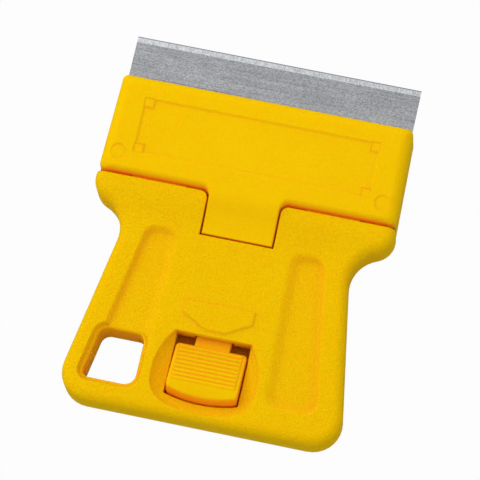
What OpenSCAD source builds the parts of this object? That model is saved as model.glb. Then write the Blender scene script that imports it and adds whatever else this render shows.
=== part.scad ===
// Palm-sized scraper for ceramic hobs, with a replaceable 60 mm blade.
// A spring closes the head plate on the blade. Pressing the thumb pad at the
// other end of the same lever rocks the plate open on two steel pins.
// X is across the tool, Y runs towards the blade, and the tool lies on its back at Z = 0.
// Inside the modules Y is measured from the hinge line, which is the front edge of the handle.

/* [Blade] */
// Width of the blade along its cutting edge
blade_w = 60; // [52:0.5:66]
// Depth of the blade from its back to its edge
blade_l = 19; // [17:0.5:20]
// Thickness of the blade
blade_t = 0.3; // [0.2:0.05:0.4]
// How far the blade stands out of the head
blade_out = 9.7; // [7:0.1:11]
// Width of the ground bevel on each side of the edge
blade_bevel = 1.15; // [0.6:0.05:2]
// Thickness left at the cutting edge
blade_edge = 0.03; // [0.02:0.01:0.08]

/* [Head] */
// Depth of the head from the hinge line to its front
head_l = 21.5; // [20:0.5:25]
// How far the head stands past each end of the blade
head_side = 0.5; // [0.4:0.1:1.5]
// How much wider each side of the head is at the hinge than at the front
head_flare = 0.6; // [0:0.1:1.5]
// Thickness of the head plate over the blade
plate_t = 5.2; // [5:0.1:6.5]
// Rounding along the top edges of the head plate
plate_round = 2.4; // [1.5:0.1:2.8]
// Share of that rounding along the plate's edge at the hinge
rear_share = 0.55; // [0.2:0.05:1]
// Plan radius of the head's front corners
head_corner = 1.1; // [0.5:0.1:2]
// Plan radius of the head's corners at the hinge
head_rear_corner = 1.5; // [0.5:0.1:2]
// Height of the lower jaw's top face over the back
bed_h = 5.1; // [4.9:0.1:6]
// Depth of the seat that locates the blade on the lower jaw
seat_depth = 0.2; // [0.1:0.05:0.25]
// Play between the blade and the ends of its seat
seat_play = 0.1; // [0.05:0.05:0.3]
// Play between the closed head plate and the blade
grip_gap = 0.02; // [0.02:0.01:0.05]
// How far the lower jaw stops short of the head plate's front
bed_setback = 0.3; // [0.1:0.1:1]
// Depth of the bare panel in the head's face
face_depth = 0.25; // [0.1:0.05:0.5]
// Margin from the panel to each side of the head at the front
face_side = 5.8; // [4.5:0.1:9]
// Distance from the hinge line to the panel
face_back = 5; // [4.5:0.1:7]
// Distance from the panel to the front of the head
face_front = 4.6; // [3.5:0.1:7]
// Size of the square steps in the panel's corners
face_step = 1.9; // [1:0.1:3]
// Width of the panel's sloping rim
face_rim = 0.35; // [0.2:0.05:0.6]
// Diameter of the two round marks in the head's face
mark_d = 3.4; // [2:0.1:4]
// Depth of the round marks
mark_depth = 0.15; // [0.1:0.05:0.4]
// Distance from each round mark to the side of the head
mark_side = 3.5; // [3.2:0.1:6]
// Distance from the hinge line to the round marks
mark_back = 4.5; // [4:0.1:6]

/* [Handle] */
// Length of the handle from the hinge line to its end
handle_l = 47.2; // [46.5:0.1:52]
// How far each shoulder stands past the head
shoulder_over = 0.2; // [0:0.05:0.6]
// Width at the waist
waist_w = 48; // [46:0.5:52]
// Width near the end
end_w = 57.8; // [55:0.2:62]
// Plan radius of the shoulders
shoulder_r = 4.6; // [4:0.1:5.5]
// Distance from the hinge line to the widest point of the shoulders
shoulder_back = 1; // [0.5:0.1:1.5]
// Plan radius of the hollow at the waist
waist_r = 7; // [6:0.1:9]
// Plan radius of the end corners
end_r = 6; // [4:0.1:8]
// Thickness of the handle at its flat panel
panel_h = 8.2; // [8:0.1:9.5]
// Thickness of the handle at the hinge line
shoulder_h = 9.4; // [8.8:0.1:10]
// Distance from the hinge line to the start of the slope down to the panel
slope_start = 1.2; // [0.8:0.1:2]
// Length of that slope
slope_l = 7.3; // [6:0.1:7.6]
// Rounding along the top edges of the handle
edge_round = 2; // [1:0.1:2.4]
// Rounding along the back edges
base_round = 1.3; // [0.6:0.1:1.5]
// Thickness of the outer walls
wall = 1.8; // [1.6:0.1:2.2]
// Thickness of the panel over the lever
roof_t = 1.8; // [1.4:0.1:2]
// Height of the hollow beside the lever
side_room_h = 5.6; // [5:0.1:5.7]
// Thickness of the wall behind the hinge barrels
hinge_wall = 1.4; // [1.2:0.1:2]

/* [Hinge] */
// Gap between the head plate and the handle
hinge_gap = 0.5; // [0.4:0.05:0.7]
// Distance of the pins in front of the hinge line
pivot_y = 0.25; // [0.1:0.05:0.4]
// Height of the pins over the lower jaw
pivot_up = 0.4; // [0.1:0.05:0.5]
// Diameter of the hinge pins
pin_d = 2; // [1.6:0.1:2.4]
// Radial play of the barrels on the pins
pin_play = 0.05; // [0.02:0.01:0.09]
// Depth of the pin ends below the sides
pin_sunk = 0.3; // [0.1:0.1:1]
// Radius of the hinge barrels on the head plate
barrel_r = 2.9; // [2.6:0.1:3]
// Radius of the hinge lugs on the handle
lug_r = 2.1; // [1.9:0.1:2.3]
// Width of the inner hinge lugs
lug_in_w = 3; // [2:0.1:3]
// Width of the outer hinge lugs
lug_out_w = 4.8; // [3:0.1:5]
// Width of the ears at the sides of the head, outside the lugs
ear_w = 1.8; // [1.4:0.1:2.4]
// Play round the barrels and the lugs
hinge_play = 0.3; // [0.2:0.05:0.35]
// How far the lever rocks, in degrees
rock_angle = 3; // [2:0.25:3.25]

/* [Lever] */
// Width of the tongue
tongue_w = 14.7; // [12:0.1:15]
// Length of the tongue behind the hinge line
tongue_l = 8.5; // [7:0.1:10]
// Width of the slits beside and behind the tongue
slit = 0.4; // [0.3:0.05:0.6]
// Radius of the corners where the slits turn
slit_r = 1.5; // [0.8:0.1:1.6]
// Length over which the head's face runs down onto the tongue
tongue_run = 5; // [3:0.1:6]
// Width of the arm under the panel
arm_w = 7.2; // [5:0.1:9]
// Thickness of the arm
arm_t = 2.2; // [1.6:0.1:2.4]
// Play between the arm and the panel over it
arm_over = 0.35; // [0.2:0.05:0.6]
// Play left under the lever when it is pressed right down
press_play = 0.15; // [0.1:0.05:0.3]
// Length of the neck that shows before the pad
neck_l = 2; // [1:0.1:3]
// Rise of the thumb pad's shoulders over the neck
pad_step = 0.5; // [0.2:0.1:1]
// Rise of the thumb pad's top from its shoulders to its crest
pad_rise = 2.1; // [1.5:0.1:2.8]
// Length of the pad's sloping end
pad_nose_l = 2.4; // [2.3:0.1:3]
// Drop of the pad's sloping end
pad_nose_drop = 0.5; // [0.2:0.1:1]
// Plan radius of the pad's corners
pad_corner = 0.8; // [0.6:0.1:1]
// Softening along the tongue's top edges
tongue_round = 0.2; // [0.1:0.05:0.3]
// Rounding along the pad's top edges
pad_round = 0.4; // [0.2:0.05:0.5]
// Number of grip ribs across the pad
pad_ribs = 9; // [3:1:10]
// Height of the grip ribs
rib_h = 0.22; // [0.1:0.02:0.3]
// Radius of the grip ribs' round backs
rib_r = 0.45; // [0.35:0.05:0.6]
// Margin from the ribs to the pad's sides
rib_side = 0.8; // [0.3:0.1:2]
// Thickness of the pad's walls
pad_wall = 1.4; // [1.1:0.1:1.8]

/* [Window] */
// Width of the window round the pad
window_w = 15.4; // [13.5:0.1:15.6]
// Distance from the hinge line to the window
window_back = 29.45; // [28.8:0.05:30]
// Length of the window
window_l = 13.9; // [13.4:0.1:14.3]
// Bow of the window's far edge
window_bow = 1.1; // [0.5:0.1:1.6]
// Play at each side of the pad
pad_play = 0.35; // [0.25:0.05:0.6]
// Play between the pad's end and the window
pad_end_play = 1; // [0.7:0.1:1.3]
// Thickness of the skirt round the window
skirt_t = 1.2; // [0.8:0.1:1.3]
// Height of the skirt's lower edge over the back
skirt_h = 4.4; // [3.6:0.1:4.8]
// Play round the arm where it passes the skirt
arm_play = 0.4; // [0.3:0.05:0.6]

/* [Thumb dish] */
// Half width of the dish
dish_half_w = 11; // [10:0.1:11.6]
// Distance from the window to the widest point of the dish
dish_mid = 8.9; // [7.5:0.1:10]
// How far the dish reaches past the window's far edge
dish_past = 2.4; // [1.6:0.1:2.6]
// Depth of the dish at the window
dish_depth = 2.1; // [1:0.1:2.2]
// How far the dish's bowl draws in from its rim to the window
dish_draw = 0.35; // [0.34:0.01:0.45]

/* [Grip channels] */
// Distance from the middle to the near edge of each channel
channel_in = 11; // [10.6:0.1:11.6]
// How much farther out the near edge is at the far end
channel_lean = 1.4; // [0:0.1:2]
// Distance from the hinge line to the channels
channel_back = 8.5; // [8:0.1:11]
// Margin from the channels to the handle's end
channel_end = 5.4; // [5:0.1:9]
// Margin from the channels to the handle's sides
channel_edge = 4.6; // [4:0.1:6]
// Depth of the channels
channel_depth = 1.1; // [0.5:0.1:1.3]
// Plan radius of the channels' corners
channel_r = 3; // [2.4:0.1:3.2]
// Width of the channels' soft inner walls
channel_inner = 2.8; // [1.6:0.1:3]
// Width of the channels' outer walls
channel_outer = 1.3; // [0.8:0.1:1.5]
// Width of the walls at the channels' ends
channel_ends = 1.8; // [0.8:0.1:2]

/* [Hang hole] */
// Distance from the hinge line to the hole
hole_back = 31.6; // [31:0.1:33]
// Margin from the hole to the handle's end
hole_end = 4.9; // [4.4:0.1:6]
// Margin from the hole to the handle's side
hole_edge = 4.3; // [4:0.1:5.5]
// Distance from the middle to the near side of the hole
hole_in = 13.85; // [13.7:0.05:15]
// Corner radii of the hole: outer front, outer end, inner end, inner front
hole_radii = [2.1, 1.2, 2.3, 1.7];
// Softened rim of the hole
hole_rim = 0.7; // [0.3:0.1:0.8]
// Thickness of the sleeve round the hole
sleeve_t = 1.3; // [1:0.1:1.4]

/* [Arrow plaque] */
// Width of the plaque
plaque_w = 14.7; // [10:0.1:16]
// Length of the plaque's straight sides
plaque_side = 2.9; // [1.5:0.1:4]
// Length of the plaque from its flat end to its blunt point
plaque_l = 5.85; // [4.5:0.05:7]
// Width of the blunt point
plaque_point = 4.3; // [2:0.1:6]
// Distance from the plaque's point to the window
plaque_gap = 0.9; // [0.5:0.1:2]
// Height of the plaque over the panel
plaque_h = 0.25; // [0.1:0.05:0.5]
// Width of the plaque's sloping rim
plaque_rim = 0.8; // [0.3:0.05:0.9]

/* [Rear cover] */
// Thickness of the rear cover
cover_t = 1.4; // [1.2:0.1:1.5]
// Play between the cover and the walls round it
cover_play = 0.12; // [0.05:0.01:0.3]
// Diameter of the spring spigot on the cover
spigot_d = 3; // [2.4:0.1:3.3]
// Height of the spring spigot
spigot_h = 0.8; // [0.4:0.1:1]

/* [Screws] */
// Diameter of the screws
screw_d = 2; // [1.8:0.1:2.4]
// Length of the screws
screw_l = 5; // [4.5:0.1:5.4]
// Diameter of the screw heads
screw_head_d = 3.9; // [3.4:0.1:4.4]
// Depth of the screw heads below the back
screw_sunk = 0.2; // [0.1:0.05:0.3]
// Diameter of the screw bosses
boss_d = 5; // [4.4:0.1:5.6]
// Margin from the two front screws to the waist's side
screw_waist = 4.5; // [4.2:0.1:6]
// Distance from the hinge line to the two front screws
screw_front_y = 6.2; // [6:0.1:7]
// Distance from the hang hole to the screw in front of it
screw_hole_gap = 4.6; // [4.2:0.1:8]
// Margin from the end screw to the handle's side
screw_edge = 6.4; // [5.6:0.1:8]
// Margin from the end screw to the handle's end
screw_end = 6.6; // [5.6:0.1:8]

/* [Spring] */
// Outside diameter of the return spring
spring_d = 4.9; // [4.6:0.1:5.2]
// Diameter of the spring wire
wire_d = 0.5; // [0.4:0.05:0.6]
// Number of turns
spring_turns = 4; // [3:0.5:4]
// Thickness of the pad over the spring
pad_roof = 1.3; // [1.1:0.1:1.6]

/* [Hidden] */
plastic = "#F2BF07";
steel = "#A9ABB0";
pin_steel = "#8E9095";
eps = 0.01;
cut = 1;
$fn = 64;

// The middle of the whole tool along Y goes to the origin
mid_y = (head_l + blade_out - handle_l) / 2;

// Heights over the back
seat_z = bed_h - seat_depth;
plate_z = seat_z + blade_t + grip_gap;
head_top = plate_z + plate_t;
pivot_z = bed_h + pivot_up;
roof_z = panel_h - roof_t;
channel_z = panel_h - channel_depth;
neck_z = roof_z - arm_over;
pad_low_h = neck_z + pad_step;

// Half widths
head_front_x = blade_w / 2 + head_side;
head_back_x = head_front_x + head_flare;
tongue_x = tongue_w / 2;
notch_x = tongue_x + slit;
window_x = window_w / 2;
pad_x = window_x - pad_play;
arm_x = arm_w / 2;
lug_in_start = notch_x + slit_r;
barrel_in = lug_in_start + lug_in_w + hinge_play;
lug_out_end = head_back_x - ear_w - hinge_play;
lug_out_start = lug_out_end - lug_out_w;
barrel_out = lug_out_start - hinge_play;

// Distances from the hinge line, forwards positive
blade_tip_y = head_l + blade_out;
blade_back_y = blade_tip_y - blade_l;
bed_l = head_l - bed_setback;
notch_end_y = -tongue_l - slit;
pocket_y = pivot_y - barrel_r - hinge_play;
room_y = pocket_y - hinge_wall;
window_end_y = -window_back - window_l;
pad_start_y = -window_back - neck_l;
pad_end_y = window_end_y + pad_end_play;
hole_front_y = -hole_back;
hole_end_y = hole_end - handle_l;
arm_front_y = -1;

// Radius of an arc with this half chord and rise
function bow_radius(half, rise) = (half * half + rise * rise) / (2 * rise);

// The handle's plan outline is three arcs a side, joined by tangents: a convex
// shoulder, a hollow waist and a convex end corner. Insets keep the arc centres.
shoulder_x = head_back_x + shoulder_over;
shoulder_c = [shoulder_x - shoulder_r, -shoulder_back];
waist_cx = waist_w / 2 + waist_r;
reach = shoulder_r + waist_r;
waist_c = [waist_cx, shoulder_c.y - sqrt(reach * reach - pow(waist_cx - shoulder_c.x, 2))];
end_c = [end_w / 2 - end_r, end_r - handle_l];
shoulder_turn = atan2(waist_c.y - shoulder_c.y, waist_c.x - shoulder_c.x);
span = waist_c - end_c;
flare = atan2(span.y, span.x) - acos((waist_r + end_r) / norm(span));
arc_steps = 9;
corner_steps = 5;

function arc(centre, r, from, to) =
    [for (i = [0 : arc_steps]) let (a = from + (to - from) * i / arc_steps)
        centre + r * [cos(a), sin(a)]];

// Right half of the outline, from the hinge line to the middle of the end
function half_outline(inset) = concat(
    arc(shoulder_c, shoulder_r - inset, asin(shoulder_back / (shoulder_r - inset)), shoulder_turn),
    arc(waist_c, waist_r + inset, shoulder_turn + 180, flare + 180),
    arc(end_c, end_r - inset, flare, -90));

// Whole outline, anticlockwise from the left end of the hinge line
function outline(inset) = let (half = half_outline(inset), n = len(half)) concat(
    [for (p = half) [-p.x, p.y]],
    [for (i = [n - 1 : -1 : 0]) half[i]]);

function unit(v) = v / norm(v);

// Arc that rounds the corner p between its neighbours a and b
function corner_arc(a, p, b, r) = let (
    u = unit(a - p),
    v = unit(b - p),
    half = acos(u * v) / 2,
    c = p + unit(u + v) * r / sin(half),
    t = p + u * r / tan(half) - c,
    from = atan2(t.y, t.x))
    [for (k = [0 : corner_steps]) let (w = from + (180 - 2 * half) * k / corner_steps)
        c + r * [cos(w), sin(w)]];

// Convex outline through these corners, anticlockwise, each rounded to its radius
function rounded(corners, radii) = let (n = len(corners)) [for (i = [0 : n - 1])
    each corner_arc(corners[(i + n - 1) % n], corners[i], corners[(i + 1) % n], radii[i])];

function at_height(points, z) = [for (p = points) [p.x, p.y, z]];

// X of the straight flared side at this Y, moved in by inset
function side_x(y, inset) = end_c.x + (end_r - inset - (y - end_c.y) * sin(flare)) / cos(flare);

// Height of the handle's top, which falls from the hinge line to the panel
function ease(t) = let (s = min(max(t, 0), 1)) s * s * (3 - 2 * s);
function top_z(y) = shoulder_h - (shoulder_h - panel_h) * ease((-y - slope_start) / slope_l);

// Height of the tongue's top, which joins the head's face to the handle's slope
function tongue_z(y) = top_z(min(y, 0))
    + (head_top - shoulder_h) * ease((y + tongue_run - hinge_gap) / tongue_run);

// Closed solid through rings of equally many points, anticlockwise, from the lowest up.
// Each end is closed by strips between the ring's first half and its last half. Where
// a ring has a straight edge across, only its first strips are used, and a fan closes
// the rest.
module loft(rings, strips = -1) {
    n = len(rings[0]);
    top = (len(rings) - 1) * n;
    last = strips < 0 ? n / 2 - 1 : strips;
    p = n / 2 - 1;
    sides = [for (k = [0 : len(rings) - 2], i = [0 : n - 1])
        let (a = k * n + i, b = k * n + (i + 1) % n)
        each [[a, b + n, b], [a, a + n, b + n]]];
    ends = [for (i = [0 : 1 : last - 1]) let (m = n - 1 - i)
        each [[i, i + 1, m], [i + 1, m - 1, m],
              [top + i, top + m, top + i + 1], [top + i + 1, top + m, top + m - 1]]];
    rim = last == p ? [] : concat([for (a = [p + 1 : n - 2 - last]) [a, a + 1]],
        [[n - 1 - last, last]], [for (a = [last : p - 2]) [a, a + 1]]);
    fan = [for (e = rim) each [[p, e[0], e[1]], [top + p, top + e[1], top + e[0]]]];
    polyhedron(points = [for (ring = rings) each ring], faces = concat(sides, ends, fan), convexity = 6);
}

// Outer form of the handle, rounded at its back and top edges. The top edge
// follows the slope from the shoulders down to the panel.
module handle_form() {
    back = [for (a = [0 : 30 : 90])
        at_height(outline(base_round * (1 - sin(a))), base_round * (1 - cos(a)))];
    front = [for (a = [0 : 15 : 90])
        [for (p = outline(edge_round * (1 - cos(a)))) [p.x, p.y, top_z(p.y) - edge_round * (1 - sin(a))]]];
    loft(concat(back, front));
}

// Half width of the head at this distance from the hinge line
function head_x(y) = head_back_x - head_flare * y / head_l;

// Outline of the head from y0 to y1, moved in by inset at its sides and front
function head_outline(y0, y1, inset, rear_r) = let (x0 = head_x(y0) - inset, x1 = head_x(y1) - inset)
    rounded([[x0, y0], [x1, y1 - inset], [-x1, y1 - inset], [-x0, y0]],
        [rear_r, head_corner, head_corner, rear_r]);

// Lower jaw, a flat block under the head with rounded back edges. Its root corners are
// inside the handle's shoulders.
bed_root = 0.5;
module bed_form() {
    back = [for (a = [0 : 30 : 90])
        at_height(head_outline(-cut, bed_l, base_round * (1 - sin(a)), bed_root), base_round * (1 - cos(a)))];
    loft(concat(back, [at_height(head_outline(-cut, bed_l, 0, bed_root), bed_h)]));
}

// Head plate and tongue in one form. The plate is rounded along its top edges. At the
// tongue's root the rounding runs round a fillet and fades out, so the tongue's sides
// are only softened beside the handle. The share k of the way up the edge is 0 to 1.
fillet_r = slit_r + slit - hinge_gap / 4;
fillet_c = [tongue_x + fillet_r, hinge_gap - fillet_r];
fillet_steps = 7;
tongue_steps = 12;
edge_rings = 6;
function jaw_half(k) = let (
    inset = plate_round * (1 - cos(90 * k)),
    rear = hinge_gap + rear_share * inset,
    front = head_l - inset,
    b = [head_x(rear) - inset, rear],
    c = [head_x(front) - inset, front])
    concat(
        [for (i = [0 : tongue_steps - 1]) [tongue_x - tongue_round * k,
            (fillet_c.y + tongue_l) * i / tongue_steps - tongue_l]],
        [for (i = [0 : fillet_steps]) let (t = i / fillet_steps, w = 180 - 90 * t,
            r = fillet_r + tongue_round * k * (1 - ease(t)) + rear_share * inset * ease(t))
            fillet_c + r * [cos(w), sin(w)]],
        corner_arc([0, rear], b, c, head_rear_corner),
        corner_arc(b, c, [-c.x, c.y], head_corner));
function jaw_ring(k) = let (half = jaw_half(k), n = len(half))
    let (right = [for (i = [0 : n - 1]) let (p = half[i], t = ease((i - tongue_steps) / fillet_steps))
        [p.x, p.y, tongue_z(p.y) - tongue_round * (1 - k) * (1 - t) - plate_round * (1 - sin(90 * k)) * t]])
    concat(right, [for (i = [n - 1 : -1 : 0]) [-right[i].x, right[i].y, right[i].z]]);
module jaw_form() {
    foot = at_height(jaw_ring(0), plate_z);
    edge = [for (i = [0 : edge_rings]) jaw_ring(i / edge_rings)];
    loft(concat([foot], edge), tongue_steps + fillet_steps);
}

module window_plan(grow) {
    r = bow_radius(window_x, window_bow);
    intersection() {
        translate([-window_x - grow, window_end_y - grow])
            square([window_w + 2 * grow, window_l + 2 * grow]);
        translate([0, window_end_y + r]) circle(r + grow, $fn = 180);
    }
}

// Thumb dish round the window: half an ellipse in front and a squarer half behind.
// Its bowl draws in by share towards the window, and its front edge stays on the window's.
dish_front = asin(1 / 1.45);
dish_power = 2.7;
dish_steps = 23;
function dish_point(a, share) = let (c = cos(a), s = sin(a)) s >= 0
    ? [share * dish_half_w * c, dish_mid * 1.45 * s]
    : [share * dish_half_w * sign(c) * pow(abs(c), 2 / dish_power),
       -share * (window_l - dish_mid + dish_past) * pow(-s, 2 / dish_power)];
function dish_ring(share, z) = [for (i = [0 : dish_steps])
    let (p = dish_point((180 + 2 * dish_front) * i / dish_steps - 180 - dish_front, share))
    [p.x, p.y - window_back - dish_mid, z]];

module dish_cut() {
    bowl = [for (a = [90 : -22.5 : 0])
        dish_ring(1 - dish_draw * (1 - cos(a)), panel_h - dish_depth * sin(a))];
    loft(concat(bowl, [dish_ring(1, panel_h + cut)]));
}

// One grip channel on the right side, at a share t of the way from its rim to its floor
channel_draw = 0.7;
function channel_ring(t, z) = let (
    front = -channel_back - channel_ends * t,
    end = channel_end - handle_l + channel_ends * t,
    near = channel_in + channel_inner * t,
    far = channel_edge + channel_outer * t,
    r = channel_r * (1 - channel_draw * t))
    at_height(rounded([
        [near + channel_lean, end],
        [side_x(end, far), end],
        [side_x(front, far), front],
        [near, front]], [r, r, r, r]), z);

module channel_cut() {
    walls = [for (t = [1 : -0.2 : 0]) channel_ring(t, panel_h - channel_depth * ease(t))];
    loft(concat(walls, [channel_ring(0, panel_h + cut)]));
}

// Outline of the hang hole on the left side, made larger by grow
function hole_outline(grow) = let (front = -hole_back + grow, end = hole_end_y - grow)
    rounded([
        [-side_x(front, hole_edge - grow), front],
        [-side_x(end, hole_edge - grow), end],
        [grow - hole_in, end],
        [grow - hole_in, front]], [for (r = hole_radii) r + grow]);

module hole_cut() {
    translate([0, 0, -cut]) linear_extrude(panel_h + 2 * cut) polygon(hole_outline(0));
    rim = [for (a = [0 : 22.5 : 90])
        at_height(hole_outline(hole_rim * (1 - cos(a))), channel_z - hole_rim * (1 - sin(a)))];
    loft(concat(rim, [at_height(hole_outline(hole_rim * 1.6), panel_h),
        at_height(hole_outline(hole_rim * 1.6), panel_h + cut)]));
}

// Cylinder along X from x0 to x1, centred on the hinge pins
module along_pin(x0, x1, r) {
    translate([x0, pivot_y, pivot_z]) rotate([0, 90, 0]) cylinder(h = x1 - x0, r = r);
}

module both_sides() {
    children();
    mirror([1, 0, 0]) children();
}

// Screw places: two behind the hinge, one in front of the hang hole, one in the end corner
screw_places = [
    [waist_w / 2 - screw_waist, -screw_front_y],
    [screw_waist - waist_w / 2, -screw_front_y],
    [-(hole_in + side_x(hole_front_y, hole_edge)) / 2, hole_front_y + screw_hole_gap],
    [side_x(screw_end - handle_l, screw_edge), screw_end - handle_l]];

// Everything inside the handle's walls that the rear cover closes
module inner_plan(inset) {
    polygon(outline(wall + inset));
    polygon(head_outline(-cut, bed_l, wall + inset, bed_root));
}

// Room for the lever and the hollows beside it
module rooms() {
    translate([0, 0, cover_t]) linear_extrude(side_room_h - cover_t)
        intersection() {
            polygon(outline(wall));
            translate([-2 * shoulder_x, -handle_l]) square([4 * shoulder_x, handle_l + room_y]);
        }
    translate([-notch_x, -window_back, cover_t])
        cube([2 * notch_x, window_back - hinge_gap, roof_z - cover_t]);
}

module inner_walls() {
    translate([0, 0, skirt_h]) linear_extrude(panel_h) window_plan(skirt_t);
    translate([0, 0, cover_t]) linear_extrude(panel_h) polygon(hole_outline(sleeve_t));
    for (place = screw_places)
        translate([place.x, place.y, cover_t]) cylinder(h = side_room_h, d = boss_d);
}

// Slot for the tongue, with rounded corners where its slits turn along the hinge line
module tongue_slot() {
    difference() {
        translate([-notch_x - slit_r, notch_end_y, seat_z])
            cube([2 * (notch_x + slit_r), -notch_end_y + cut, panel_h]);
        both_sides() {
            translate([notch_x + slit_r, -slit_r, 0]) cylinder(h = 2 * panel_h, r = slit_r);
            translate([notch_x, -handle_l, 0]) cube([slit_r * 2, handle_l - slit_r, 2 * panel_h]);
        }
    }
}

module hinge_lugs() {
    both_sides() {
        along_pin(lug_in_start, lug_in_start + lug_in_w, lug_r);
        along_pin(lug_out_start, lug_out_end, lug_r);
        translate([lug_in_start, 0, seat_z - lug_r]) cube([lug_in_w, pivot_y + lug_r, lug_r + pivot_up]);
        translate([lug_out_start, 0, seat_z - lug_r]) cube([lug_out_w, pivot_y + lug_r, lug_r + pivot_up]);
    }
}

// Raised arrow that points at the thumb pad, with a sloping rim
module plaque() {
    point_y = -window_back + plaque_gap;
    rings = [for (k = [0, 1]) let (inset = k * plaque_rim, x = plaque_w / 2 - inset)
        at_height([for (p = [
            [plaque_point / 2 - inset / 2, inset],
            [x, plaque_l - plaque_side + inset / 2],
            [x, plaque_l - inset],
            [-x, plaque_l - inset],
            [-x, plaque_l - plaque_side + inset / 2],
            [inset / 2 - plaque_point / 2, inset]]) [p.x, p.y + point_y]], panel_h + k * plaque_h)];
    foot = [for (p = rings[0]) [p.x, p.y, panel_h - cut]];
    loft(concat([foot], rings));
}

module handle_body() {
    color(plastic) translate([0, -mid_y, 0]) {
        difference() {
            union() {
                handle_form();
                bed_form();
                hinge_lugs();
                plaque();
            }
            difference() {
                rooms();
                inner_walls();
            }
            translate([0, 0, -cut]) linear_extrude(cut + cover_t) inner_plan(0);
            tongue_slot();
            translate([0, 0, -cut]) linear_extrude(panel_h + 2 * cut) window_plan(0);
            translate([-arm_x - arm_play, -window_back - cut, -cut])
                cube([arm_w + 2 * arm_play, 2 * cut + skirt_t, roof_z + cut]);
            dish_cut();
            both_sides() channel_cut();
            hole_cut();
            // Blade seat, open at the front
            translate([-blade_w / 2 - seat_play, blade_back_y - seat_play, seat_z])
                cube([blade_w + 2 * seat_play, blade_l + cut, cut]);
            // Barrel pockets and pin holes
            both_sides() {
                along_pin(barrel_in - hinge_play, barrel_out + hinge_play, barrel_r + hinge_play);
                along_pin(lug_in_start - eps, head_back_x + cut, pin_d / 2);
            }
            for (place = screw_places)
                translate([place.x, place.y, 0]) cylinder(h = screw_sunk + screw_l, d = screw_d);
        }
    }
}

module rear_cover() {
    color(plastic) translate([0, -mid_y, 0]) {
        difference() {
            linear_extrude(cover_t) inner_plan(cover_play);
            translate([0, 0, -cut]) linear_extrude(2 * cut + cover_t) polygon(hole_outline(0));
            for (place = screw_places) {
                translate([place.x, place.y, -cut]) cylinder(h = 2 * cut + cover_t, d = screw_d);
                translate([place.x, place.y, -eps]) cylinder(h = screw_sunk + eps, d = screw_head_d);
                translate([place.x, place.y, screw_sunk]) screw_cone();
            }
        }
        translate([0, spring_y, cover_t - eps]) cylinder(h = spigot_h + eps, d = spigot_d);
    }
}

// Arm and thumb pad. Their undersides clear the cover when the lever is pressed right down.
function under_z(y) = cover_t + sin(rock_angle) * (pivot_y - y) + press_play;
pad_crest_y = pad_end_y + pad_nose_l;
pad_slope = pad_rise / (pad_start_y - pad_crest_y);
spring_y = (pad_start_y + pad_end_y) / 2;
function pad_top(y) = pad_low_h + (y > pad_crest_y
    ? pad_slope * (pad_start_y - y)
    : pad_rise - pad_nose_drop * (pad_crest_y - y) / pad_nose_l);

module side_profile(points, half_w) {
    translate([-half_w, 0, 0]) rotate([90, 0, 90]) linear_extrude(2 * half_w) polygon(points);
}

module arm() {
    low = neck_z - arm_t;
    side_profile([[arm_front_y, low], [arm_front_y, plate_z + cut], [notch_end_y, plate_z + cut],
        [notch_end_y - cut, neck_z], [-window_back - 0.2, neck_z], [pad_start_y, pad_low_h],
        [pad_start_y - cut, pad_low_h], [pad_start_y - cut, under_z(pad_start_y)],
        [-window_back, low]], arm_x);
}

// Right half of the pad's outline from its shoulder to the middle of its bowed end
function pad_half(inset) = let (
    bow = bow_radius(pad_x, window_bow),
    bow_c = [0, pad_end_y + bow],
    x = pad_x - pad_corner,
    end = [x, bow_c.y - sqrt(pow(bow - pad_corner, 2) - x * x)],
    turn = atan2(end.y - bow_c.y, end.x))
    concat(
        [for (i = [0 : corner_steps]) [x, pad_start_y - pad_corner]
            + (pad_corner - inset) * [sin(90 * i / corner_steps), cos(90 * i / corner_steps)]],
        [[pad_x - inset, pad_crest_y]],
        [for (i = [0 : corner_steps]) end + (pad_corner - inset) * [cos(turn * i / corner_steps),
            sin(turn * i / corner_steps)]],
        [for (i = [1 : corner_steps]) let (w = turn - (90 + turn) * i / (corner_steps + 1))
            bow_c + (bow - inset) * [cos(w), sin(w)]]);

function pad_ring(inset, drop) = let (half = pad_half(inset), n = len(half)) concat(
    [for (p = half) [-p.x, p.y, pad_top(p.y) - drop]],
    [for (i = [n - 1 : -1 : 0]) [half[i].x, half[i].y, pad_top(half[i].y) - drop]]);

module pad_form() {
    foot = [for (p = pad_ring(0, 0)) [p.x, p.y, under_z(p.y)]];
    edge = [for (a = [0 : 30 : 90]) pad_ring(pad_round * (1 - cos(a)), pad_round * (1 - sin(a)))];
    loft(concat([foot], edge));
}

module pad_grip() {
    pitch = (pad_start_y - pad_crest_y) / (pad_ribs + 0.5);
    for (i = [0 : pad_ribs - 1]) {
        y = pad_start_y - pitch * (i + 0.75);
        translate([rib_side - pad_x, y, pad_top(y) + rib_h - rib_r])
            rotate([0, 90, 0]) cylinder(h = 2 * (pad_x - rib_side), r = rib_r);
    }
}

// Hollow under the pad, with a spigot that holds the spring
module pad_hollow() {
    difference() {
        translate([pad_wall - pad_x, pad_end_y + pad_wall + window_bow, 0])
            cube([2 * (pad_x - pad_wall), pad_start_y - pad_end_y - 2 * pad_wall - window_bow, spring_top_z]);
        translate([0, spring_y, spring_top_z - spigot_h]) cylinder(h = spigot_h + cut, d = spigot_d);
    }
}

// Pocket in the head's face out to x at each side, with a sloping rim
module face_pocket(x, y0, y1) {
    loft([for (k = [1, -1]) let (d = k * face_rim)
        at_height([[d - x, y0 + d], [x - d, y0 + d], [x - d, y1 - d], [d - x, y1 - d]], head_top - k * face_depth)]);
}

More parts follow.
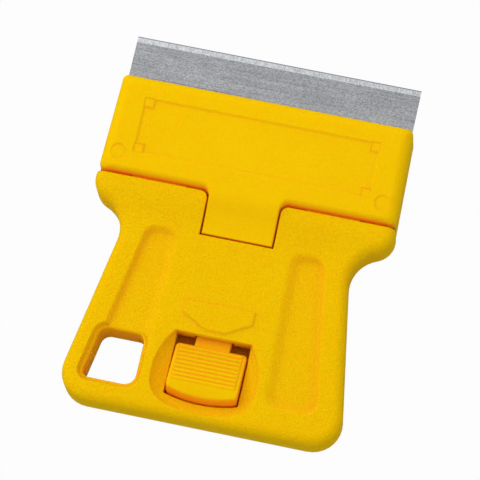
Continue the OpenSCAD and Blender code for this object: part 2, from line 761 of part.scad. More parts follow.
// Bare panel with stepped corners, and a shallower square in each step
module face_panel() {
    x = head_front_x - face_side;
    y0 = face_back;
    y1 = head_l - face_front;
    face_pocket(x, y0 + face_step, y1 - face_step);
    face_pocket(x - face_step, y0, y1);
    both_sides() for (y = [y0, y1 - face_step])
        translate([x - face_step - eps, y, head_top - face_depth / 3]) cube([face_step + eps, face_step, cut]);
}

module clamp_jaw() {
    color(plastic) translate([0, -mid_y, 0]) {
        difference() {
            union() {
                difference() {
                    jaw_form();
                    // Room for the handle's hinge lugs
                    both_sides() {
                        lug_room(lug_in_start - hinge_play, barrel_in);
                        lug_room(barrel_out, lug_out_end + hinge_play);
                    }
                }
                both_sides() along_pin(barrel_in, barrel_out, barrel_r);
                arm();
                pad_form();
                pad_grip();
            }
            face_panel();
            both_sides() {
                translate([head_back_x - mark_side, mark_back, head_top - mark_depth])
                    cylinder(h = 2 * mark_depth, d1 = mark_d - 2 * mark_depth, d2 = mark_d + 2 * mark_depth);
                along_pin(barrel_in - eps, head_back_x + cut, pin_d / 2 + pin_play);
            }
            pad_hollow();
        }
    }
}

module lug_room(x0, x1) {
    along_pin(x0, x1, lug_r + hinge_play);
    translate([x0, pivot_y - lug_r - hinge_play, plate_z - cut])
        cube([x1 - x0, 2 * (lug_r + hinge_play), pivot_z - plate_z + cut]);
}

module hinge_pin() {
    along_pin(lug_in_start, head_back_x - pin_sunk, pin_d / 2);
}

module hinge_pin_right() {
    color(pin_steel) translate([0, -mid_y, 0]) hinge_pin();
}

module hinge_pin_left() {
    color(pin_steel) translate([0, -mid_y, 0]) mirror([1, 0, 0]) hinge_pin();
}

module blade() {
    edge_mid = seat_z + blade_t / 2;
    color(steel) translate([0, -mid_y, 0])
        side_profile([[blade_back_y, seat_z], [blade_tip_y - blade_bevel, seat_z],
            [blade_tip_y, edge_mid - blade_edge / 2], [blade_tip_y, edge_mid + blade_edge / 2],
            [blade_tip_y - blade_bevel, seat_z + blade_t], [blade_back_y, seat_z + blade_t]], blade_w / 2);
}

// Height of the face in the pad that the spring pushes on
spring_top_z = pad_top(spring_y) - pad_roof;
spring_h = spring_top_z - cover_t;
spring_r = (spring_d - wire_d) / 2;
rings_per_turn = 8;
wire_sides = 6;
coil_steps = spring_turns * rings_per_turn;

// Centre of the wire after this many rings
function coil_point(i) = let (a = 360 * i / rings_per_turn)
    [spring_r * cos(a), spring_r * sin(a), wire_d / 2 + (spring_h - wire_d) * i / coil_steps];

// Least gap between one turn and the next, measured on the wire's centre points
coil_gap = min([for (i = [0 : coil_steps - rings_per_turn], k = [-1 : 1])
    let (j = i + rings_per_turn + k) j <= coil_steps ? norm(coil_point(j) - coil_point(i)) : 99]) - wire_d;

module return_spring() {
    echo(spring_least_gap = coil_gap);
    rings = [for (i = [0 : coil_steps]) let (a = 360 * i / rings_per_turn, c = coil_point(i))
        [for (s = [0 : wire_sides - 1]) let (b = 360 * s / wire_sides)
            c + wire_d / 2 * [cos(b) * cos(a), cos(b) * sin(a), sin(b)]]];
    n = wire_sides;
    last = coil_steps * n;
    sides = [for (k = [0 : coil_steps - 1], s = [0 : n - 1]) let (t = (s + 1) % n)
        each [[k * n + s, (k + 1) * n + s, (k + 1) * n + t], [k * n + s, (k + 1) * n + t, k * n + t]]];
    ends = [for (s = [1 : n - 2]) each [[0, s, s + 1], [last, last + s + 1, last + s]]];
    color(pin_steel) translate([0, spring_y - mid_y, cover_t])
        polyhedron(points = [for (ring = rings) each ring], faces = concat(sides, ends), convexity = 8);
}

module screw_cone() {
    cylinder(h = (screw_head_d - screw_d) / 2, d1 = screw_head_d, d2 = screw_d);
}

module screw() {
    slot = screw_d * 0.9;
    slot_w = 0.5;
    difference() {
        union() {
            screw_cone();
            cylinder(h = screw_l - screw_d / 2, d = screw_d);
            translate([0, 0, screw_l - screw_d / 2])
                cylinder(h = screw_d / 2, d1 = screw_d, d2 = screw_d / 4);
        }
        for (turn = [0, 90])
            rotate([0, 0, turn]) translate([-slot / 2, -slot_w / 2, -cut]) cube([slot, slot_w, cut + slot_w]);
    }
}

module cover_screws() {
    color(steel) translate([0, -mid_y, screw_sunk])
        for (place = screw_places) translate([place.x, place.y, 0]) screw();
}

handle_body();
rear_cover();
clamp_jaw();
hinge_pin_left();
hinge_pin_right();
blade();
return_spring();
cover_screws();
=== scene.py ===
"""Ceramic hob scraper in yellow plastic: looks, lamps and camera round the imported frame."""

import math

import bmesh
import bpy
from bpy.props import FloatProperty, FloatVectorProperty, IntProperty, StringProperty
from mathutils import Matrix, Vector


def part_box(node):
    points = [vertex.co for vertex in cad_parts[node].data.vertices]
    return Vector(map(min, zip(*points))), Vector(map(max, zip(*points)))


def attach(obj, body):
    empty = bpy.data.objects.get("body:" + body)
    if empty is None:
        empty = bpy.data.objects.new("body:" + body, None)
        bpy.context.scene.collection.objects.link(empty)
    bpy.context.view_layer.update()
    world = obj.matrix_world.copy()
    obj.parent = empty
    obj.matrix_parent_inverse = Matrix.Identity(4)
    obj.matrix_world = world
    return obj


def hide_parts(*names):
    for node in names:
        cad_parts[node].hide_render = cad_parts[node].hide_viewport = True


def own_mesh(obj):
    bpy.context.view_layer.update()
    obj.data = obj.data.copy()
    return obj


bl_info = {
    "name": "Hob scraper",
    "version": (1, 0, 0),
    "blender": (4, 5, 0),
    "location": "3D View > Sidebar > Scraper",
    "description": "Dresses the frame of a ceramic hob scraper and sets its stage",
    "category": "Object",
}

MM = 0.001

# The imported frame. Places below are read from its nodes, in metres.
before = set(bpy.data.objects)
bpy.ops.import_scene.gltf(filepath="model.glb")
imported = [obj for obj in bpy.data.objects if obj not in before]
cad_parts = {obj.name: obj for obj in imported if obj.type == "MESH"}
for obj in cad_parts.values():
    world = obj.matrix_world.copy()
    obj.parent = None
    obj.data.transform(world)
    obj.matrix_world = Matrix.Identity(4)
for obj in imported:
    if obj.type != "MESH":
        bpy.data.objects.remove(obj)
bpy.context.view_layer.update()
BLADE_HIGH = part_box("blade")[1]
PAD_END_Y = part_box("clamp_jaw")[0].y
SPRING_LOW, SPRING_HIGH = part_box("return_spring")

# Heights over the back, as in the part's source
PANEL_Z = 8.2 * MM
PLAQUE_Z = 8.45 * MM
PAD_CREST_Z = 8.05 * MM
PAD_LIP_Z = 6.25 * MM

# The spring's wire: rings in one turn, sides round it, and the flat share of an end turn
RINGS_PER_TURN = 28
WIRE_SIDES = 10
CLOSED_TURN = 0.4

# Half the plaque's width, with some room
PLAQUE_REACH = 9 * MM
# Length of the thumb pad's rounded end
PAD_ROUNDING = 1.6 * MM

# Points nearer than this are one point
MERGE = 0.001 * MM
# Two heights nearer than this are the same height
NEAR = 0.01 * MM
# Edges of the mouldings that turn by more than this are sharp
SHARP_ANGLE = math.radians(32)

WHITE = (1.0, 1.0, 1.0, 1.0)
# Least and greatest roughness of drawn wire and of zinc plating, and the width of their lines
DRAWN = (0.22, 0.42)
PLATED = (0.3, 0.5)
STEEL_LINE = 0.3 * MM

# Where the lamps stand, the floor's half width, and how far it lies under the tool
KEY_PLACE = (-0.52, 0.33, 0.52)
FILL_PLACE = (0.1, 0.05, 0.9)
FLOOR_HALF = 3.0
FLOOR_DROP = 0.02 * MM


def linear(hex_colour):
    """sRGB hex such as F2BF07 as linear red, green, blue and alpha."""
    out = []
    for k in (0, 2, 4):
        c = int(hex_colour[k : k + 2], 16) / 255
        out.append(c / 12.92 if c <= 0.04045 else ((c + 0.055) / 1.055) ** 2.4)
    return (*out, 1.0)


class FormSettings(bpy.types.PropertyGroup):
    """Small forms of the mouldings that are finished here."""

    pad_flare: FloatProperty(
        name="Pad flare",
        description="How far the thumb pad's end slopes out towards the window",
        default=0.65 * MM,
        unit="LENGTH",
        precision=5,
    )
    plaque_rim: FloatProperty(
        name="Plaque rim",
        description="Share of the plaque's sloping rim that stays",
        default=0.42,
    )
    plaque_rise: FloatProperty(
        name="Plaque rise",
        description="How much higher the plaque's face stands",
        default=0.08 * MM,
        unit="LENGTH",
        precision=5,
    )
    wire: FloatProperty(
        name="Spring wire",
        description="Diameter of the return spring's wire",
        default=0.5 * MM,
        unit="LENGTH",
        precision=5,
    )
    turns: IntProperty(name="Spring turns", description="Turns of the return spring", default=4)
    pressed: FloatProperty(
        name="Pressed spring",
        description="Share of its height that the spring keeps when the pad is right down",
        default=0.55,
    )


class PlasticSettings(bpy.types.PropertyGroup):
    """The yellow moulded plastic of the handle, the cover and the jaw."""

    colour: StringProperty(
        name="Colour", description="sRGB hex of the pigment", default="FFCE06"
    )
    # Painted shade: an orange that the plastic's material mixes into the pigment where ambient
    # occlusion finds slots and hollows, standing in for the shade and the reddened light there
    painted_hollow_shade: StringProperty(
        name="Hollow colour",
        description="sRGB hex of the pigment in slots and hollows",
        default="FFA418",
    )
    # How far ambient occlusion looks for walls when it paints the hollow shade
    hollow: FloatProperty(
        name="Hollow reach",
        description="Width of a slot that counts as a hollow",
        default=9.0 * MM,
        unit="LENGTH",
        precision=5,
    )
    flow: FloatProperty(
        name="Flow marks",
        description="Length over which the pigment differs a little",
        default=12 * MM,
        unit="LENGTH",
        precision=5,
    )
    grain: FloatProperty(
        name="Grain width",
        description="Width of one pit of the spark-eroded grain",
        default=0.37 * MM,
        unit="LENGTH",
        precision=5,
    )
    grain_depth: FloatProperty(
        name="Grain depth",
        description="Depth of the grain on the handle",
        default=0.3 * MM,
        unit="LENGTH",
        precision=5,
    )
    roughness: FloatProperty(
        name="Roughness", description="Mean roughness of the handle and the cover", default=0.55
    )
    roughness_swing: FloatProperty(
        name="Roughness swing", description="How far the grain moves the roughness", default=0.2
    )
    jaw_roughness: FloatProperty(
        name="Jaw roughness", description="Mean roughness of the jaw", default=0.56
    )
    jaw_grain: FloatProperty(
        name="Jaw grain", description="Share of the handle's grain that the jaw has", default=0.4
    )
    jaw_tint: FloatProperty(
        name="Jaw tint",
        description="Share of the pigment's lightness that the jaw has",
        default=0.95,
    )
    gloss: FloatProperty(
        name="Gloss", description="Strength of the surface reflection", default=0.005
    )
    gloss_colour: StringProperty(
        name="Gloss colour", description="sRGB hex of the surface reflection", default="FFC800"
    )
    glow: FloatProperty(
        name="Glow", description="Share of the light that travels inside the plastic", default=0.35
    )
    reach: FloatProperty(
        name="Reach",
        description="How far red light travels inside the plastic",
        default=1.2 * MM,
        unit="LENGTH",
        precision=5,
    )
    edge: FloatProperty(
        name="Edge softness",
        description="Radius that the mould leaves on every edge",
        default=0.4 * MM,
        unit="LENGTH",
        precision=5,
    )


class SteelSettings(bpy.types.PropertyGroup):
    """The strip steel of the blade and the small steel pieces."""

    blade_colour: StringProperty(
        name="Blade colour", description="sRGB hex of the strip steel", default="9EA0A3"
    )
    bevel_colour: StringProperty(
        name="Bevel colour", description="sRGB hex of the ground bevel", default="C1C3C6"
    )
    tip_colour: StringProperty(
        name="Tip colour", description="sRGB hex of the line along the very tip", default="86878A"
    )
    wire_colour: StringProperty(
        name="Wire colour", description="sRGB hex of pins and spring", default="A6A8AC"
    )
    zinc_colour: StringProperty(
        name="Zinc colour", description="sRGB hex of the plated screws", default="AAADB3"
    )
    bevel: FloatProperty(
        name="Bevel width",
        description="Width of the ground bevel seen from above",
        default=1.27 * MM,
        unit="LENGTH",
        precision=5,
    )
    tip: FloatProperty(
        name="Tip width",
        description="Width of the dark line along the very tip",
        default=0.22 * MM,
        unit="LENGTH",
        precision=5,
    )
    speckle: FloatProperty(
        name="Speckle width",
        description="Width of a speck, drawn as wide as it needs to show",
        default=0.24 * MM,
        unit="LENGTH",
        precision=5,
    )
    streak: FloatProperty(
        name="Rolling streak width",
        description="Width of the streaks that rolling leaves along the strip",
        default=0.5 * MM,
        unit="LENGTH",
        precision=5,
    )
    clouds: FloatProperty(
        name="Cloud width",
        description="Width of the faint clouds in the strip's grey",
        default=5 * MM,
        unit="LENGTH",
        precision=5,
    )
    scratch: FloatProperty(
        name="Scratch width",
        description="Width of the band that one scratch or grinding mark lies in",
        default=0.3 * MM,
        unit="LENGTH",
        precision=5,
    )
    roughness: FloatProperty(
        name="Blade roughness", description="Roughness of the rolled strip", default=0.46
    )


class StageSettings(bpy.types.PropertyGroup):
    """The floor, the lamps, the world and the camera."""

    floor_colour: StringProperty(
        name="Floor colour", description="sRGB hex of the floor as it is seen", default="FFFFFF"
    )
    card_colour: StringProperty(
        name="Card colour",
        description="sRGB hex of the card that light falls on",
        default="AAAAAA",
    )
    seen_white: FloatProperty(
        name="Seen white",
        description="Share of plain white in the floor as it is seen; the rest shows the shadow",
        default=0.97,
    )
    key: FloatProperty(
        name="Key lamp",
        description="Power of the large lamp at the upper left",
        default=2.6,
        unit="POWER",
    )
    key_size: FloatProperty(
        name="Key lamp size", description="Width of the key lamp", default=0.8, unit="LENGTH"
    )
    fill: FloatProperty(
        name="Fill lamp", description="Power of the lamp overhead", default=0.7, unit="POWER"
    )
    fill_size: FloatProperty(
        name="Fill lamp size", description="Width of the lamp overhead", default=0.5, unit="LENGTH"
    )
    sky: FloatProperty(
        name="World light", description="Strength of the even light all round", default=0.71
    )
    eye: FloatVectorProperty(
        name="Camera place",
        description="Where the camera stands",
        default=(0.0957, -0.21697, 0.7846),
        subtype="TRANSLATION",
        unit="LENGTH",
    )
    aim: FloatVectorProperty(
        name="Camera aim",
        description="The point in the middle of the picture",
        default=(0.00034778, 0.00043244, 0.0052),
        subtype="TRANSLATION",
        unit="LENGTH",
        precision=6,
    )
    roll: FloatProperty(
        name="Camera roll",
        description="How far the tool is turned clockwise in the picture",
        default=math.radians(13.156),
        subtype="ANGLE",
    )
    lens: FloatProperty(
        name="Lens", description="Focal length on a 36 mm sensor", default=299.56
    )


def add(tree, kind, where=(0, 0), links=(), values=(), stops=(), **settings):
    """Adds one node. links pairs inputs with output sockets, values pairs inputs with values,
    stops pairs places on a colour ramp with colours, and settings are attributes."""
    node = tree.nodes.new(kind)
    node.location = where
    for name, value in settings.items():
        setattr(node, name, value)
    for name, value in values:
        node.inputs[name].default_value = value
    for index, (place, colour) in enumerate(stops):
        node.color_ramp.elements[index].position = place
        node.color_ramp.elements[index].color = colour
    for name, source in links:
        tree.links.new(source, node.inputs[name])
    return node


def new_material(name):
    material = bpy.data.materials.new(name)
    material.use_nodes = True
    tree = material.node_tree
    tree.nodes.clear()
    return material, tree


def times(colour, red, green=None, blue=None):
    """A colour times one share, or times a share for each of red, green and blue."""
    shares = (red, red if green is None else green, red if blue is None else blue)
    return (*(min(1, share * c) for share, c in zip(shares, colour)), 1)


def plastic_material(
    settings, name, grain_share, roughness, tint=1.0, alone=True, inside=False
):
    """Spark-eroded ABS, golden yellow right through. Light goes a little way into it, and
    slots and hollows are also painted a deeper orange as shade where ambient occlusion finds them.
    The fine pitted grain breaks the gloss into small glints and paints a little shade where it is
    low. grain_share and tint are shares of the grain and of the pigment's lightness, alone leaves
    the other pieces out of the painted hollow shade, and inside paints that shade on the upward
    faces of a face that closes a hollow piece."""
    material, tree = new_material(name)
    place = add(tree, "ShaderNodeTexCoord", (-1400, 0)).outputs["Object"]
    # Flow marks: the pigment differs a little over the length of one
    flow = add(
        tree, "ShaderNodeTexNoise", (-1200, 300), [("Vector", place)],
        [("Scale", 1 / settings.flow), ("Detail", 3), ("Roughness", 0.6)],
    )
    base = times(linear(settings.colour), tint)
    pigment = add(
        tree, "ShaderNodeMix", (-900, 300), [(0, flow.outputs["Fac"])],
        [(6, times(base, 0.96, 0.94, 1)), (7, times(base, 1.02, 1.04, 1))], data_type="RGBA",
    )
    # The grain is a pitting of one width, broken up by finer pitting
    grain = add(
        tree, "ShaderNodeTexNoise", (-1200, -100), [("Vector", place)],
        [("Scale", 1 / settings.grain), ("Detail", 2.5), ("Roughness", 0.6)],
    ).outputs["Fac"]
    # Painted shade: where the grain is low the pigment is darkened a little, more in green than in
    # red, as if light were held back in the grain's hollows; the ridges between them keep the
    # plain pigment
    pit = (1 - 0.08 * grain_share, 1 - 0.16 * grain_share, 1, 1)
    painted_pit_shade = add(
        tree, "ShaderNodeValToRGB", (-900, 100), [("Fac", grain)],
        stops=[(0.33, pit), (0.68, WHITE)],
    )
    shaded = add(
        tree, "ShaderNodeMix", (-600, 300), [(6, pigment.outputs[2]), (7, painted_pit_shade.outputs["Color"])],
        [(0, 1)], data_type="RGBA", blend_type="MULTIPLY",
    )
    if inside:
        # The face that closes the hollow handle only ever sees its inside. Painted shade: its
        # upward faces take the orange hollow colour in full, and its other faces keep the pigment
        facing = add(tree, "ShaderNodeTexCoord", (-1200, 800)).outputs["Normal"]
        up = add(tree, "ShaderNodeSeparateXYZ", (-1000, 800), [("Vector", facing)]).outputs["Z"]
        share = add(
            tree, "ShaderNodeMath", (-800, 800), [(0, up)], [(1, 0.5)], operation="LESS_THAN"
        ).outputs["Value"]
    else:
        # Painted shade: where ambient occlusion finds a slot or hollow, the orange hollow colour
        # is mixed into the pigment, standing in for light that has crossed the plastic many times
        # and turned orange
        reach = add(
            tree, "ShaderNodeAmbientOcclusion", (-900, 550),
            values=[("Distance", settings.hollow)], samples=8, only_local=alone,
        )
        share = add(
            tree, "ShaderNodeMapRange", (-700, 550), [("Value", reach.outputs["AO"])],
            [("From Min", 0.55)],
        ).outputs["Result"]
    colour = add(
        tree, "ShaderNodeMix", (-400, 400), [(0, share), (7, shaded.outputs[2])],
        [(6, linear(settings.painted_hollow_shade))], data_type="RGBA",
    )
    soft_edge = add(
        tree, "ShaderNodeBevel", (-1000, -400), values=[("Radius", settings.edge)], samples=6
    )
    bump = add(
        tree, "ShaderNodeBump", (-500, -200),
        [("Height", grain), ("Normal", soft_edge.outputs["Normal"])],
        [("Strength", 1), ("Distance", settings.grain_depth * grain_share)],
    )
    gloss = add(
        tree, "ShaderNodeMapRange", (-600, 0), [("Value", grain)],
        [
            ("From Min", 0.3),
            ("From Max", 0.7),
            ("To Min", roughness - settings.roughness_swing),
            ("To Max", roughness + settings.roughness_swing),
        ],
    )
    # Red light travels farthest through the pigment and blue hardly at all
    shader = add(
        tree, "ShaderNodeBsdfPrincipled", (-200, 0),
        [
            ("Base Color", colour.outputs[2]),
            ("Roughness", gloss.outputs["Result"]),
            ("Normal", bump.outputs["Normal"]),
        ],
        [
            ("IOR", 1.53),
            ("Specular IOR Level", settings.gloss),
            ("Specular Tint", linear(settings.gloss_colour)),
            ("Subsurface Weight", settings.glow),
            ("Subsurface Scale", settings.reach),
            ("Subsurface Radius", (1.0, 0.42, 0.04)),
        ],
    )
    add(tree, "ShaderNodeOutputMaterial", (100, 0), [("Surface", shader.outputs["BSDF"])])
    return material


def blade_material(settings):
    """Cold-rolled, hardened strip steel, dull mid grey. Close up it breaks into a fine speckle,
    with faint rolling streaks and a few long scratches along the strip. The ground bevel is
    paler, with grinding marks square to the edge, and its very tip shows as a thin dark line."""
    material, tree = new_material("cold_rolled_strip_steel")
    place = add(tree, "ShaderNodeTexCoord", (-1900, 0)).outputs["Object"]
    steel, bevel = linear(settings.blade_colour), linear(settings.bevel_colour)
    # Stretch along X and Y, width, detail, roughness, and the two ends of the colours. The real
    # speckle and grinding marks are finer, and are drawn as wide as they need to show.
    marks = {
        "speckle": (
            0.6, 1, settings.speckle, 2, 0.8, (0.36, times(steel, 0.7)), (0.64, times(steel, 1.27))
        ),
        "rolled": (0.02, 1, settings.streak, 3, 0.6, (0.3, times(WHITE, 0.83)), (0.62, WHITE)),
        "clouds": (0.5, 1, settings.clouds, 2, 0.6, (0.35, times(WHITE, 0.9)), (0.65, WHITE)),
        "scratches": (0.012, 1, settings.scratch, 0, 0.6, (0.72, WHITE), (0.8, times(WHITE, 0.6))),
        "ground": (
            1, 0.3, settings.scratch, 2, 0.7, (0.36, times(bevel, 0.78)), (0.64, times(bevel, 1.2))
        ),
    }
    noises, shades = {}, {}
    for row, (name, (x, y, width, detail, rough, low, high)) in enumerate(marks.items()):
        down = -300 * row
        mapped = add(
            tree, "ShaderNodeMapping", (-1700, down), [("Vector", place)], [("Scale", (x, y, 1))]
        ).outputs["Vector"]
        noises[name] = add(
            tree, "ShaderNodeTexNoise", (-1400, down), [("Vector", mapped)],
            [("Scale", 1 / width), ("Detail", detail), ("Roughness", rough)],
        ).outputs["Fac"]
        shades[name] = add(
            tree, "ShaderNodeValToRGB", (-1100, down), [("Fac", noises[name])], stops=[low, high]
        ).outputs["Color"]
    colour = shades["speckle"]
    for column, name in enumerate(("rolled", "clouds", "scratches")):
        colour = add(
            tree, "ShaderNodeMix", (-800 + 200 * column, 0), [(6, colour), (7, shades[name])],
            [(0, 1)], data_type="RGBA", blend_type="MULTIPLY",
        ).outputs[2]
    along = add(tree, "ShaderNodeSeparateXYZ", (-1700, 500), [("Vector", place)]).outputs["Y"]
    on_bevel, on_tip = (
        add(
            tree, "ShaderNodeMath", (-1100, where), [(0, along)],
            [(1, BLADE_HIGH.y - width)], operation="GREATER_THAN",
        ).outputs["Value"]
        for where, width in ((500, settings.bevel), (700, settings.tip))
    )
    colour = add(
        tree, "ShaderNodeMix", (-200, 0), [(0, on_bevel), (6, colour), (7, shades["ground"])],
        data_type="RGBA",
    ).outputs[2]
    colour = add(
        tree, "ShaderNodeMix", (0, 0), [(0, on_tip), (6, colour)],
        [(7, linear(settings.tip_colour))], data_type="RGBA",
    ).outputs[2]
    bump = add(
        tree, "ShaderNodeBump", (0, -300), [("Height", noises["speckle"])],
        [("Strength", 0.5), ("Distance", 0.004 * MM)],
    )
    shader = add(
        tree, "ShaderNodeBsdfPrincipled", (300, 0),
        [("Base Color", colour), ("Normal", bump.outputs["Normal"])],
        [("Metallic", 1), ("Roughness", settings.roughness)],
    )
    add(tree, "ShaderNodeOutputMaterial", (600, 0), [("Surface", shader.outputs["BSDF"])])
    return material


def small_steel_material(name, colour, roughness):
    """Drawn or plated steel of the small pieces: bright grey, smooth to the touch, with fine
    lines that change its roughness between the two given."""
    material, tree = new_material(name)
    place = add(tree, "ShaderNodeTexCoord", (-900, 0)).outputs["Object"]
    lines = add(
        tree, "ShaderNodeTexNoise", (-700, 0), [("Vector", place)],
        [("Scale", 1 / STEEL_LINE), ("Detail", 2)],
    )
    gloss = add(
        tree, "ShaderNodeMapRange", (-500, 0), [("Value", lines.outputs["Fac"])],
        [("To Min", roughness[0]), ("To Max", roughness[1])],
    )
    shader = add(
        tree, "ShaderNodeBsdfPrincipled", (-200, 0), [("Roughness", gloss.outputs["Result"])],
        [("Metallic", 1), ("Base Color", linear(colour))],
    )
    add(tree, "ShaderNodeOutputMaterial", (100, 0), [("Surface", shader.outputs["BSDF"])])
    return material


def floor_material(settings):
    """Matt white card. The camera and reflections see it near white, with a trace of the
    shadow. The light that falls on it comes back as from a grey card."""
    material, tree = new_material("matt_white_card")
    ray = add(tree, "ShaderNodeLightPath", (-800, 300))
    seen = ray.outputs["Is Camera Ray"]
    for column, name in enumerate(("Is Glossy Ray", "Is Transmission Ray")):
        seen = add(
            tree, "ShaderNodeMath", (-600 + 200 * column, 300),
            [(0, seen), (1, ray.outputs[name])], operation="MAXIMUM",
        ).outputs["Value"]
    share = add(
        tree, "ShaderNodeMath", (-200, 300), [(0, seen)], [(1, settings.seen_white)],
        operation="MULTIPLY",
    )
    card = add(
        tree, "ShaderNodeBsdfDiffuse", (-200, 0), values=[("Color", linear(settings.card_colour))]
    )
    white = add(
        tree, "ShaderNodeEmission", (-200, -200), values=[("Color", linear(settings.floor_colour))]
    )
    mix = add(
        tree, "ShaderNodeMixShader", (0, 0),
        [(0, share.outputs["Value"]), (1, card.outputs["BSDF"]), (2, white.outputs["Emission"])],
    )
    add(tree, "ShaderNodeOutputMaterial", (200, 0), [("Surface", mix.outputs["Shader"])])
    return material


def dress(node, material):
    """Gives a CAD node its material."""
    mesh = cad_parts[node].data
    mesh.materials.clear()
    mesh.materials.append(material)
    mesh.polygons.foreach_set("material_index", [0] * len(mesh.polygons))


def moulding(name, node, body, material, reshape=None):
    """A free copy of a moulding's solid, which stands for its node. Its faces are joined, so
    that roundings shade as one soft surface, and reshape may move its points."""
    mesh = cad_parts[node].data.copy()
    mesh.name = name
    for attribute in ("custom_normal", "sharp_edge", "sharp_face"):
        if attribute in mesh.attributes:
            mesh.attributes.remove(mesh.attributes[attribute])
    form = bmesh.new()
    form.from_mesh(mesh)
    bmesh.ops.remove_doubles(form, verts=form.verts, dist=MERGE)
    if reshape:
        reshape(form)
    for face in form.faces:
        face.smooth = True
        face.material_index = 0
    form.to_mesh(mesh)
    form.free()
    mesh.set_sharp_from_angle(angle=SHARP_ANGLE)
    mesh.materials.clear()
    mesh.materials.append(material)
    piece = bpy.data.objects.new(name, mesh)
    bpy.context.scene.collection.objects.link(piece)
    # Wide flat faces stay flat beside narrow rounded ones
    flat = piece.modifiers.new("flat_faces", "WEIGHTED_NORMAL")
    flat.keep_sharp = True
    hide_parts(node)
    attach(piece, body)
    return piece


def wind_spring(name, settings):
    """A compression spring of round wire between the cover and the pad. Its end turns
    lie flat, as on a spring that is cut and closed."""
    middle = (SPRING_LOW + SPRING_HIGH) / 2
    half_wire = settings.wire / 2
    radius = (SPRING_HIGH.x - SPRING_LOW.x) / 2 - half_wire
    height = SPRING_HIGH.z - SPRING_LOW.z - settings.wire
    steps = settings.turns * RINGS_PER_TURN
    form = bmesh.new()
    rings = []
    for step in range(steps + 1):
        turn = step / RINGS_PER_TURN
        climb = (turn - CLOSED_TURN) / (settings.turns - 2 * CLOSED_TURN)
        out = Vector((math.cos(math.tau * turn), math.sin(math.tau * turn), 0))
        centre = Vector((middle.x, middle.y, SPRING_LOW.z + half_wire)) + out * radius
        centre.z += height * min(max(climb, 0), 1)
        ring = []
        for side in range(WIRE_SIDES):
            a = math.tau * side / WIRE_SIDES
            place = centre + half_wire * (math.cos(a) * out + math.sin(a) * Vector((0, 0, 1)))
            ring.append(form.verts.new(place))
        rings.append(ring)
    for low, high in zip(rings, rings[1:]):
        for side in range(WIRE_SIDES):
            after = (side + 1) % WIRE_SIDES
            form.faces.new((low[side], high[side], high[after], low[after])).smooth = True
    form.faces.new(rings[0])
    form.faces.new(reversed(rings[-1]))
    bmesh.ops.recalc_face_normals(form, faces=form.faces)
    mesh = bpy.data.meshes.new(name)
    form.to_mesh(mesh)
    form.free()
    piece = bpy.data.objects.new(name, mesh)
    bpy.context.scene.collection.objects.link(piece)
    return piece


def sharpen_plaque(form, settings):
    """Draws the plaque's sloping rim in to a crisp edge."""
    for point in form.verts:
        on_face = abs(point.co.z - PLAQUE_Z) < NEAR and abs(point.co.x) < PLAQUE_REACH
        if on_face:
            feet = [edge.other_vert(point) for edge in point.link_edges]
            feet = [foot for foot in feet if abs(foot.co.z - PANEL_Z) < NEAR]
            foot = min(feet, key=lambda f: (f.co - point.co).length).co
            point.co.xy = foot.xy.lerp(point.co.xy, settings.plaque_rim)
            point.co.z += settings.plaque_rise


def flare_pad_end(form, settings):
    """Slopes the thumb pad's end out towards the window's edge, down to the dish's lip."""
    near = [v for v in form.verts if v.co.y < PAD_END_Y + PAD_ROUNDING]
    faces = {f for v in near for f in v.link_faces if all(p in near for p in f.verts)}
    edges = {e for f in faces for e in f.edges}
    bmesh.ops.bisect_plane(
        form, geom=[*near, *edges, *faces], plane_co=(0, 0, PAD_LIP_Z), plane_no=(0, 0, 1)
    )
    for point in form.verts:
        if point.co.y < PAD_END_Y + PAD_ROUNDING:
            drop = (PAD_CREST_Z - point.co.z) / (PAD_CREST_Z - PAD_LIP_Z)
            point.co.y -= settings.pad_flare * min(max(drop, 0), 1)


class SCRAPER_OT_handle(bpy.types.Operator):
    """Dress the handle moulding and its rear cover"""

    bl_idname = "scraper.handle"
    bl_label = "Handle and cover"

    def execute(self, context):
        settings = context.scene.scraper_plastic
        form = context.scene.scraper_form
        material = plastic_material(settings, "spark_eroded_abs", 1.0, settings.roughness)
        moulding("handle", "handle_body", "handle", material, lambda f: sharpen_plaque(f, form))
        material = plastic_material(
            settings, "spark_eroded_abs_cover", 1.0, settings.roughness, inside=True
        )
        moulding("back_cover", "rear_cover", "handle", material)
        return {"FINISHED"}


class SCRAPER_OT_jaw(bpy.types.Operator):
    """Dress the head plate, its tongue and the thumb pad"""

    bl_idname = "scraper.jaw"
    bl_label = "Clamp jaw"

    def execute(self, context):
        settings = context.scene.scraper_plastic
        form = context.scene.scraper_form
        material = plastic_material(
            settings, "satin_abs", settings.jaw_grain, settings.jaw_roughness,
            tint=settings.jaw_tint, alone=False,
        )
        moulding("clamp_lever", "clamp_jaw", "jaw", material, lambda f: flare_pad_end(f, form))
        return {"FINISHED"}


class SCRAPER_OT_blade(bpy.types.Operator):
    """Dress the blade"""

    bl_idname = "scraper.blade"
    bl_label = "Blade"

    def execute(self, context):
        dress("blade", blade_material(context.scene.scraper_steel))
        return {"FINISHED"}


class SCRAPER_OT_steel(bpy.types.Operator):
    """Dress the pins and the screws"""

    bl_idname = "scraper.steel"
    bl_label = "Pins and screws"

    def execute(self, context):
        settings = context.scene.scraper_steel
        material = small_steel_material("drawn_steel_wire", settings.wire_colour, DRAWN)
        for node in ("hinge_pin_left", "hinge_pin_right"):
            dress(node, material)
        # Zinc leaves a softer, slightly bluish shine
        material = small_steel_material("zinc_plated_steel", settings.zinc_colour, PLATED)
        dress("cover_screws", material)
        return {"FINISHED"}


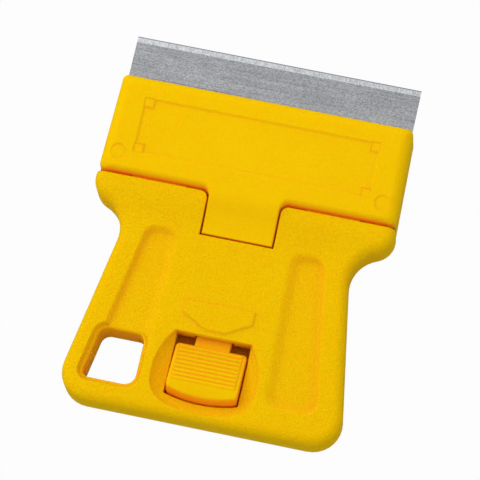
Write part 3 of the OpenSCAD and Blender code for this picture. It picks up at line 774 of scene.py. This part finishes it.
class SCRAPER_OT_spring(bpy.types.Operator):
    """Wind the return spring under the thumb pad"""

    bl_idname = "scraper.spring"
    bl_label = "Return spring"

    def execute(self, context):
        form = context.scene.scraper_form
        colour = context.scene.scraper_steel.wire_colour
        piece = wind_spring("pad_spring", form)
        material = small_steel_material("hard_drawn_spring_wire", colour, DRAWN)
        piece.data.materials.append(material)
        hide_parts("return_spring")
        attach(piece, "handle")
        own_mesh(piece)
        return {"FINISHED"}


def area_lamp(name, place, size, power):
    """A round soft lamp that points at the tool."""
    lamp = bpy.data.lights.new(name, "AREA")
    lamp.shape = "DISK"
    lamp.size = size
    lamp.energy = power
    obj = bpy.data.objects.new(name, lamp)
    bpy.context.scene.collection.objects.link(obj)
    obj.location = place
    obj.rotation_euler = (-Vector(place)).to_track_quat("-Z", "Y").to_euler()


class SCRAPER_OT_stage(bpy.types.Operator):
    """Set the floor, the lamps, the world and the camera"""

    bl_idname = "scraper.stage"
    bl_label = "Stage"

    def execute(self, context):
        scene = context.scene
        settings = scene.scraper_stage
        mesh = bpy.data.meshes.new("floor")
        bm = bmesh.new()
        bmesh.ops.create_grid(bm, x_segments=1, y_segments=1, size=FLOOR_HALF)
        bm.to_mesh(mesh)
        bm.free()
        floor = bpy.data.objects.new("floor", mesh)
        scene.collection.objects.link(floor)
        floor.location.z = -FLOOR_DROP
        mesh.materials.append(floor_material(settings))

        area_lamp("key", KEY_PLACE, settings.key_size, settings.key)
        area_lamp("fill", FILL_PLACE, settings.fill_size, settings.fill)

        world = bpy.data.worlds.new("studio")
        world.use_nodes = True
        scene.world = world
        background = world.node_tree.nodes["Background"]
        background.inputs["Color"].default_value = WHITE
        background.inputs["Strength"].default_value = settings.sky

        data = bpy.data.cameras.new("camera")
        data.sensor_width = 36
        data.lens = settings.lens
        data.clip_start = 0.01
        camera = bpy.data.objects.new("camera", data)
        scene.collection.objects.link(camera)
        eye, aim = Vector(settings.eye), Vector(settings.aim)
        forward = (aim - eye).normalized()
        right = forward.cross(Vector((0, 1, 0))).normalized()
        up = right.cross(forward)
        c, s = math.cos(settings.roll), math.sin(settings.roll)
        right, up = right * c + up * s, up * c - right * s
        turn = Matrix((right, up, -forward)).transposed()
        camera.matrix_world = Matrix.Translation(eye) @ turn.to_4x4()
        scene.camera = camera
        scene.view_settings.view_transform = "Standard"
        # Light has to cross the hollows many times before they glow
        scene.cycles.max_bounces = 24
        scene.cycles.diffuse_bounces = 20
        return {"FINISHED"}


class SCRAPER_PT_panel(bpy.types.Panel):
    """The scraper's pieces and their settings"""

    bl_idname = "SCRAPER_PT_panel"
    bl_label = "Hob scraper"
    bl_space_type = "VIEW_3D"
    bl_region_type = "UI"
    bl_category = "Scraper"

    def draw(self, context):
        layout = self.layout
        for group in SETTINGS:
            settings = getattr(context.scene, group)
            for name in settings.__annotations__:
                layout.prop(settings, name)
        for operator in OPERATORS:
            layout.operator(operator.bl_idname)


SETTINGS = {
    "scraper_form": FormSettings,
    "scraper_plastic": PlasticSettings,
    "scraper_steel": SteelSettings,
    "scraper_stage": StageSettings,
}
OPERATORS = (
    SCRAPER_OT_handle,
    SCRAPER_OT_jaw,
    SCRAPER_OT_blade,
    SCRAPER_OT_steel,
    SCRAPER_OT_spring,
    SCRAPER_OT_stage,
)


def register():
    for cls in (*SETTINGS.values(), *OPERATORS, SCRAPER_PT_panel):
        bpy.utils.register_class(cls)
    for name, cls in SETTINGS.items():
        setattr(bpy.types.Scene, name, bpy.props.PointerProperty(type=cls))


def unregister():
    for name in SETTINGS:
        delattr(bpy.types.Scene, name)
    for cls in reversed((*SETTINGS.values(), *OPERATORS, SCRAPER_PT_panel)):
        bpy.utils.unregister_class(cls)


def main():
    register()
    bpy.ops.scraper.handle()
    bpy.ops.scraper.jaw()
    bpy.ops.scraper.blade()
    bpy.ops.scraper.steel()
    bpy.ops.scraper.spring()
    bpy.ops.scraper.stage()


if __name__ == "__main__":
    main()
